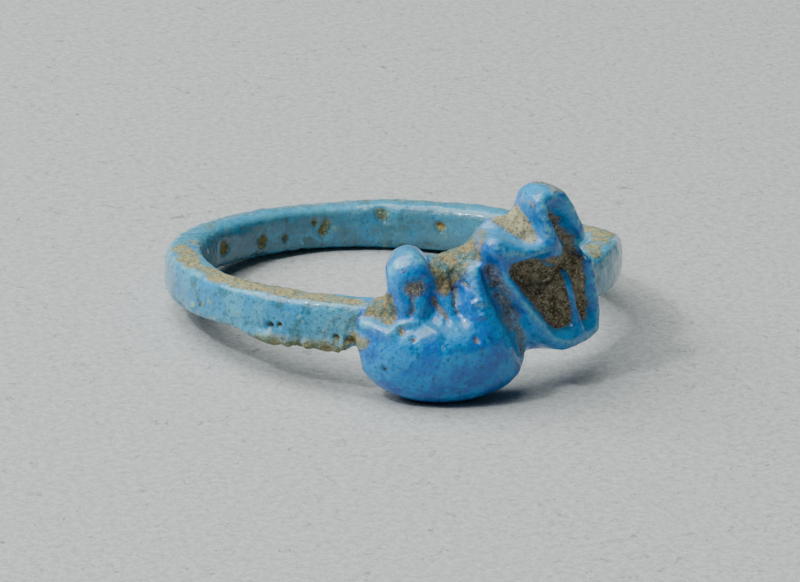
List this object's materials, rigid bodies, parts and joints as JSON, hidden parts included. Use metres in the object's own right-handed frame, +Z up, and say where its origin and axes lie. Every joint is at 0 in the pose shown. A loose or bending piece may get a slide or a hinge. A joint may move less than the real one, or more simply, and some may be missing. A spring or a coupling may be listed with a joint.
{
  "type": "finger ring",
  "caption": "Blue faience finger ring with a thick hand-rolled band and a worn moulded amulet as its bezel, lying loose on a table.",
  "frame": {"origin": "centre of the bounding box's base, on the table", "axes": "+Z up from the table; the bezel faces -Y and the plain back of the band is towards +Y; +X is to the right seen from the bezel's front"},
  "size_m": [0.0206, 0.0218, 0.0093],
  "materials": {
    "faience": "glossy blue alkaline glaze, worn pale on the edges and filled with brown dirt in the hollows"
  },
  "bodies": {
    "root": {"ring": "faience"}
  },
  "joints": []
}
